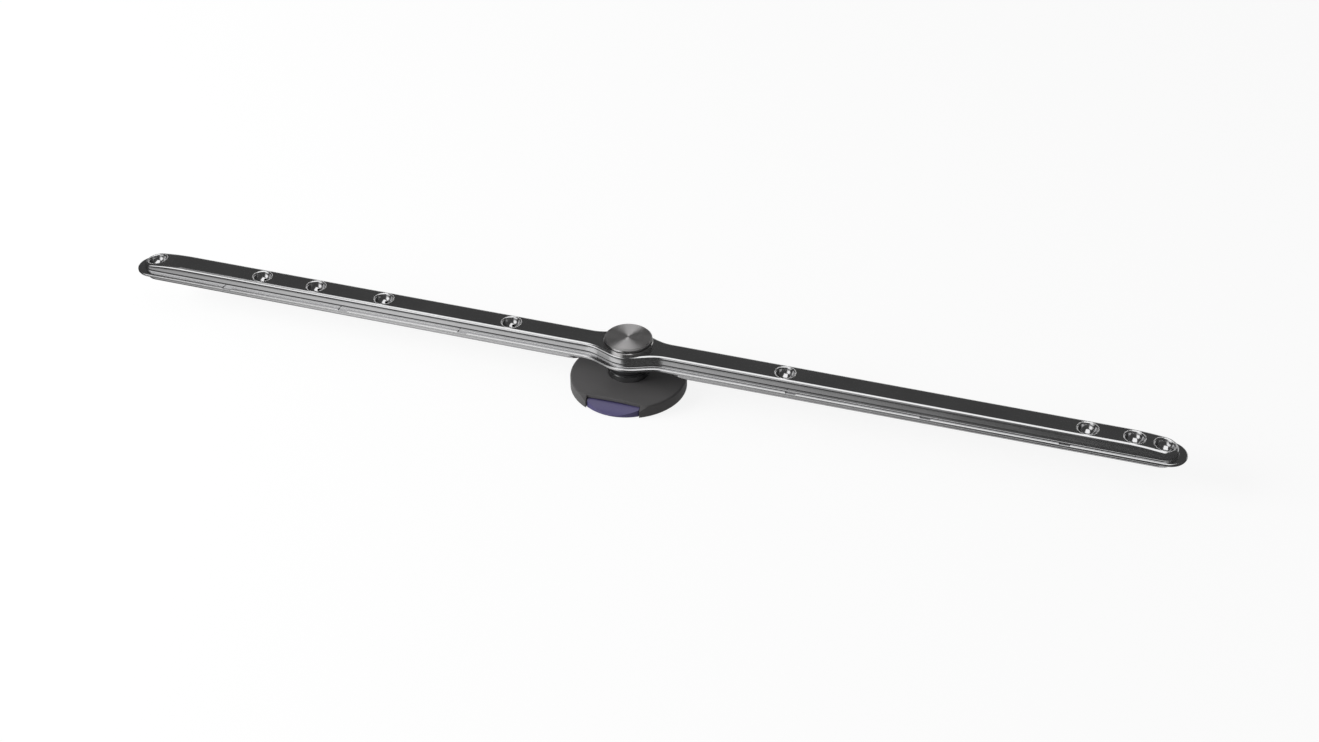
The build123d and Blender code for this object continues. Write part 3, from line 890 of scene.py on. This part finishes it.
def floorPaper(values):
    # the camera sees an even white with the object's shadow, the steel the same floor as a glossy sheet,
    # painted darker towards the left end as painted shade
    material = bpy.data.materials.new("floorPaper")
    material.use_nodes = True
    tree = material.node_tree
    tree.nodes.remove(tree.nodes["Principled BSDF"])
    rays = tree.nodes.new("ShaderNodeLightPath").outputs
    coords = tree.nodes.new("ShaderNodeTexCoord").outputs["Object"]

    def addShaders(first, second):
        both = tree.nodes.new("ShaderNodeAddShader")
        join(tree, first.outputs[0], both.inputs[0])
        join(tree, second.outputs[0], both.inputs[1])
        return both.outputs[0]

    paper = addNode(tree, "ShaderNodeBsdfDiffuse", Color=opaque(values["tone"]))
    glow = addNode(tree, "ShaderNodeEmission")
    seen = mathNode(tree, "MULTIPLY", rays["Is Camera Ray"], values["glow"])
    thrown = mathNode(tree, "MULTIPLY_ADD", rays["Is Diffuse Ray"], values["bounce"], seen)
    join(tree, thrown, glow.inputs["Strength"])
    # painted shade: the sheet's mirror colour is lower towards the left end
    dim = values["sheetShine"] * values["leftShadeTone"]
    east = splitNode(tree, coords)["X"]
    shine = stepBetween(tree, east, *values["leftShadeX"], dim, values["sheetShine"])
    sheet = addNode(tree, "ShaderNodeBsdfGlossy", Roughness=values["sheetRoughness"])
    join(tree, shine, sheet.inputs["Color"])
    pale = addNode(tree, "ShaderNodeEmission", Strength=values["sheetGlow"])
    mix = tree.nodes.new("ShaderNodeMixShader")
    inMirror = mathNode(tree, "MAXIMUM", rays["Is Glossy Ray"], rays["Is Transmission Ray"])
    join(tree, inMirror, mix.inputs[0])
    join(tree, addShaders(paper, glow), mix.inputs[1])
    join(tree, addShaders(sheet, pale), mix.inputs[2])
    join(tree, mix.outputs[0], tree.nodes["Material Output"].inputs["Surface"])
    return material


def makeFloor(values):
    half = values["size"] / 2
    corners = [(-half, -half, 0), (half, -half, 0), (half, half, 0), (-half, half, 0)]
    mesh = bpy.data.meshes.new("floor")
    mesh.from_pydata(corners, [], [(0, 1, 2, 3)])
    mesh.materials.append(floorPaper(values))
    floor = placeObject("floor", mesh)


# Light

roomValues = {
    "softLight": 0.32,           # even light from all round, as the plastics see it
    "roomTone": 0.075,           # dark room behind the lamps, as the steel sees it
    "lampNear": 0.05,            # least depth that a lamp's edges are measured at
    "lampFade": (0.08, 0.25),    # depths over which a lamp comes in
    "upSoft": 0.06,              # softness of a lamp's upper and lower edges
}

# a lamp's edges are given over its depth, the way that it faces
lampValues = {
    "overhead": {"tone": 1.5, "across": (-0.50, 0.40), "up": (-0.65, 0.45), "soft": 0.06},
    "front": {"tone": 1.5, "across": (-0.44, 0.43), "up": (0.20, 1.0), "soft": 0.30},
    "back": {"tone": 0.8, "across": (-1.3, 1.3), "up": (0.06, 0.34), "soft": 0.30},
}
frontFacing = 37.8               # degrees round from the front to the left

keyValues = {
    "power": 23.0,
    "size": 0.9,
    "place": (-1.25, -0.55, 0.45),
}


def window(tree, value, edges, soft):
    # 1 between two edges, with soft steps
    low, high = edges
    rise = stepBetween(tree, value, low - soft, low + soft)
    fall = stepBetween(tree, value, high - soft, high + soft, 1.0, 0.0)
    return mathNode(tree, "MULTIPLY", rise, fall)


def lampFace(tree, room, lamp, depth, across, up):
    # a softbox, as seen along a ray
    ahead = mathNode(tree, "MAXIMUM", depth, room["lampNear"])
    inAcross = window(tree, mathNode(tree, "DIVIDE", across, ahead), lamp["across"], lamp["soft"])
    inUp = window(tree, mathNode(tree, "DIVIDE", up, ahead), lamp["up"], room["upSoft"])
    inFront = stepBetween(tree, depth, *room["lampFade"], 0.0, lamp["tone"])
    return mathNode(tree, "MULTIPLY", mathNode(tree, "MULTIPLY", inAcross, inUp), inFront)


def makeWorld(room, lamps):
    # the camera sees white, the steel softboxes in a dark room, and matt surfaces an even soft light
    world = bpy.data.worlds.new("studio")
    scene.world = world
    world.use_nodes = True
    tree = world.node_tree
    background = tree.nodes["Background"]
    background.inputs["Color"].default_value = (1.0, 1.0, 1.0, 1.0)
    rays = tree.nodes.new("ShaderNodeLightPath").outputs
    ray = tree.nodes.new("ShaderNodeTexCoord").outputs["Generated"]
    east, north, height = splitNode(tree, ray)

    turn = math.radians(frontFacing)
    toFront = vectorNode(tree, "DOT_PRODUCT", ray, (-math.sin(turn), -math.cos(turn), 0.0), output="Value")
    toSide = vectorNode(tree, "DOT_PRODUCT", ray, (-math.cos(turn), math.sin(turn), 0.0), output="Value")
    overhead = lampFace(tree, room, lamps["overhead"], height, east, north)
    front = lampFace(tree, room, lamps["front"], toFront, toSide, height)
    back = lampFace(tree, room, lamps["back"], north, east, height)
    glare = mathNode(tree, "ADD", mathNode(tree, "ADD", overhead, front), back)
    studio = mathNode(tree, "ADD", glare, room["roomTone"])
    forMirror = mathNode(tree, "MULTIPLY", rays["Is Glossy Ray"], studio)
    matt = mathNode(tree, "SUBTRACT", 1.0, rays["Is Glossy Ray"])
    forMatt = mathNode(tree, "MULTIPLY", matt, room["softLight"])
    white = mathNode(tree, "MULTIPLY", rays["Is Camera Ray"], 1.0 - room["softLight"])
    total = mathNode(tree, "ADD", mathNode(tree, "ADD", forMirror, forMatt), white)
    join(tree, total, background.inputs["Strength"])


def aimAt(thing, towards):
    thing.rotation_mode = "QUATERNION"
    thing.rotation_quaternion = towards.to_track_quat("-Z", "Y")


def makeKey(values):
    # lights the plastics from the left, and the steel doesn't mirror it
    light = bpy.data.lights.new("key", "AREA")
    light.energy = values["power"]
    light.size = values["size"]
    lamp = placeObject("key", light)
    lamp.location = values["place"]
    aimAt(lamp, -Vector(values["place"]))
    lamp.visible_glossy = False


# Camera

cameraValues = {
    "azimuth": 17.912,           # degrees to the right of the front
    "elevation": 35.344,
    "distance": 881.2 * mm,
    "target": (14.23 * mm, 0.0, 10.22 * mm),
    "lens": 55.11,
    "sensor": 36.0,
    "clip": (0.01, 100.0),
}


def makeCamera(values):
    data = bpy.data.cameras.new("camera")
    data.lens = values["lens"]
    data.sensor_width = values["sensor"]
    data.clip_start, data.clip_end = values["clip"]
    azimuth, elevation = math.radians(values["azimuth"]), math.radians(values["elevation"])
    level = math.cos(elevation)
    back = Vector((math.sin(azimuth) * level, -math.cos(azimuth) * level, math.sin(elevation)))
    camera = placeObject("camera", data)
    camera.location = Vector(values["target"]) + back * values["distance"]
    aimAt(camera, -back)
    scene.camera = camera


makeFloor(floorValues)
makeWorld(roomValues, lampValues)
makeKey(keyValues)
makeCamera(cameraValues)
scene.view_settings.view_transform = "Standard"
print("stage 6: floor, light and camera")
